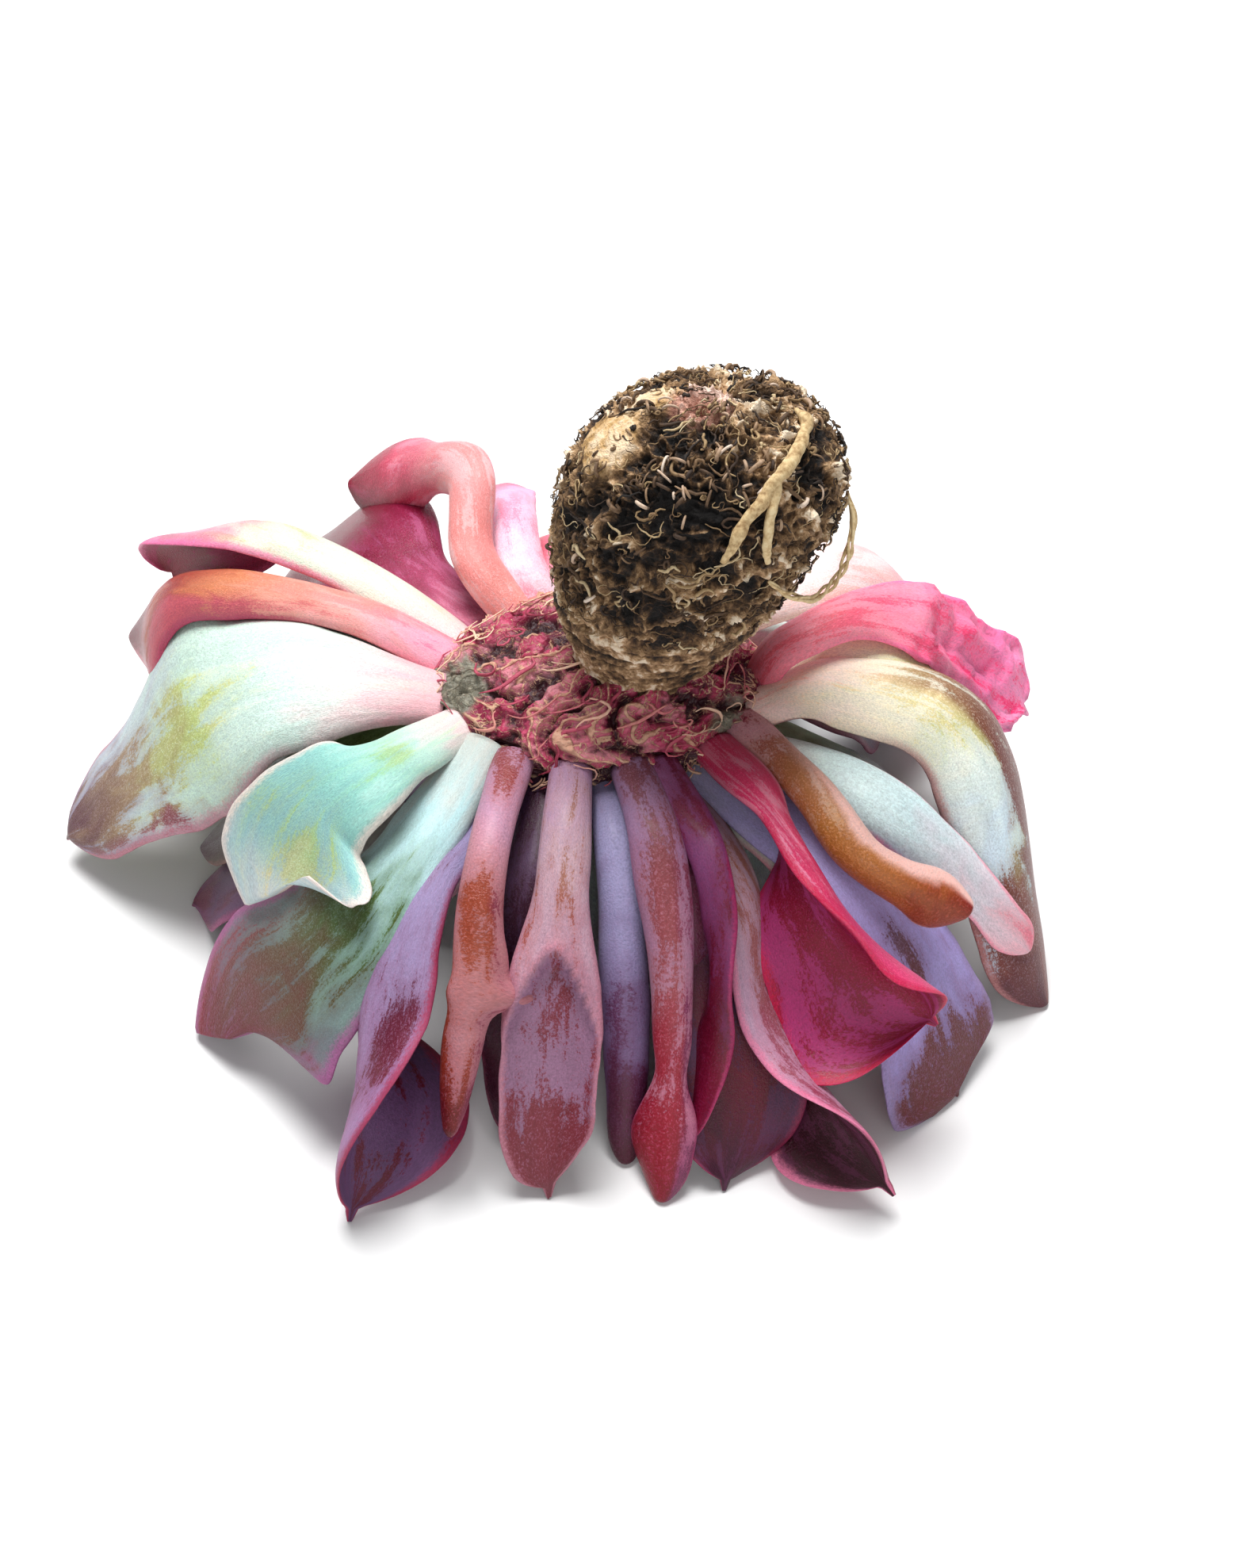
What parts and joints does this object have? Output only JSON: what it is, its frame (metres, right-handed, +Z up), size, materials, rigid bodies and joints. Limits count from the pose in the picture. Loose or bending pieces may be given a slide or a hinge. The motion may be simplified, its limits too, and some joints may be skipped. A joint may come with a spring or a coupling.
{
  "type": "bare-root echeveria plant",
  "caption": "Uprooted echeveria lying upside down on its leaf rosette, with the crown, stem and root ball pointing up.",
  "frame": {"origin": "middle of the footprint, on the surface that the leaf tips rest on", "axes": "+Z up, from the rosette to the root ball; -Y is the front, where the leaves hang lowest; +X is the side that the stem leans to"},
  "size_m": [0.1584, 0.1386, 0.0945],
  "materials": {
    "leaf_pale": "waxy pale mint leaf back with a powdery bloom, yellow-green patches and a pink base",
    "leaf_orange": "waxy peach to orange-brown keel with a pink margin",
    "leaf_crimson": "waxy crimson and hot pink leaf with a pale bloom",
    "leaf_pink": "thin pink and white leaf back",
    "leaf_lavender": "waxy lavender-grey leaf back, its bloom rubbed off in mauve and brown patches",
    "leaf_dusk": "dark mauve leaf in the shade of the others",
    "leaf_olive": "dark olive leaf in the shade of the others",
    "leaf_heart": "pale waxy young leaf in the heart of the rosette",
    "crown": "ridged collar of pink leaf scars with dry papery cream flakes",
    "dry_bract": "small dry pink bract",
    "stem": "fibrous brown bark, ringed and striated",
    "root_ball": "matted dark and pale roots with clinging soil",
    "pale_root": "smooth pale root"
  },
  "bodies": {
    "root": {"crown": "crown", "dry_bract": "dry_bract", "leaf_back_crimson": "leaf_crimson", "leaf_back_hooked": "leaf_crimson", "leaf_back_inner_1": "leaf_lavender", "leaf_back_inner_2": "leaf_lavender", "leaf_back_inner_3": "leaf_lavender", "leaf_back_inner_4": "leaf_lavender", "leaf_back_inner_5": "leaf_lavender", "leaf_back_inner_6": "leaf_lavender", "leaf_back_outer_1": "leaf_lavender", "leaf_back_outer_2": "leaf_lavender", "leaf_back_outer_3": "leaf_lavender", "leaf_back_outer_4": "leaf_lavender", "leaf_back_red": "leaf_crimson", "leaf_back_strap": "leaf_pink", "leaf_bud_1": "leaf_heart", "leaf_bud_2": "leaf_heart", "leaf_bud_3": "leaf_heart", "leaf_bud_4": "leaf_heart", "leaf_front_crimson": "leaf_crimson", "leaf_front_dusk": "leaf_dusk", "leaf_front_fold": "leaf_lavender", "leaf_front_hooded": "leaf_lavender", "leaf_front_orange": "leaf_orange", "leaf_front_pale": "leaf_lavender", "leaf_front_plum": "leaf_dusk", "leaf_front_red_tip": "leaf_orange", "leaf_front_shade": "leaf_dusk", "leaf_front_slate": "leaf_lavender", "leaf_front_strap": "leaf_dusk", "leaf_heart_1": "leaf_heart", "leaf_heart_2": "leaf_heart", "leaf_heart_3": "leaf_heart", "leaf_heart_4": "leaf_heart", "leaf_heart_5": "leaf_heart", "leaf_heart_6": "leaf_heart", "leaf_left_broad": "leaf_pale", "leaf_left_fold": "leaf_crimson", "leaf_left_green": "leaf_pale", "leaf_left_keeled": "leaf_orange", "leaf_left_mint": "leaf_pale", "leaf_left_olive": "leaf_olive", "leaf_left_plum": "leaf_dusk", "leaf_left_sage": "leaf_pale", "leaf_right_blush": "leaf_pink", "leaf_right_broad": "leaf_pale", "leaf_right_finger": "leaf_orange", "leaf_right_grey": "leaf_lavender", "leaf_right_lavender": "leaf_lavender", "leaf_right_mint": "leaf_pale", "leaf_right_pale": "leaf_pale", "leaf_right_wilted": "leaf_pink", "leaf_side_inner_1": "leaf_lavender", "root_ball": "root_ball", "root_forked": "pale_root", "root_loop": "pale_root", "stem": "stem"}
  },
  "joints": []
}
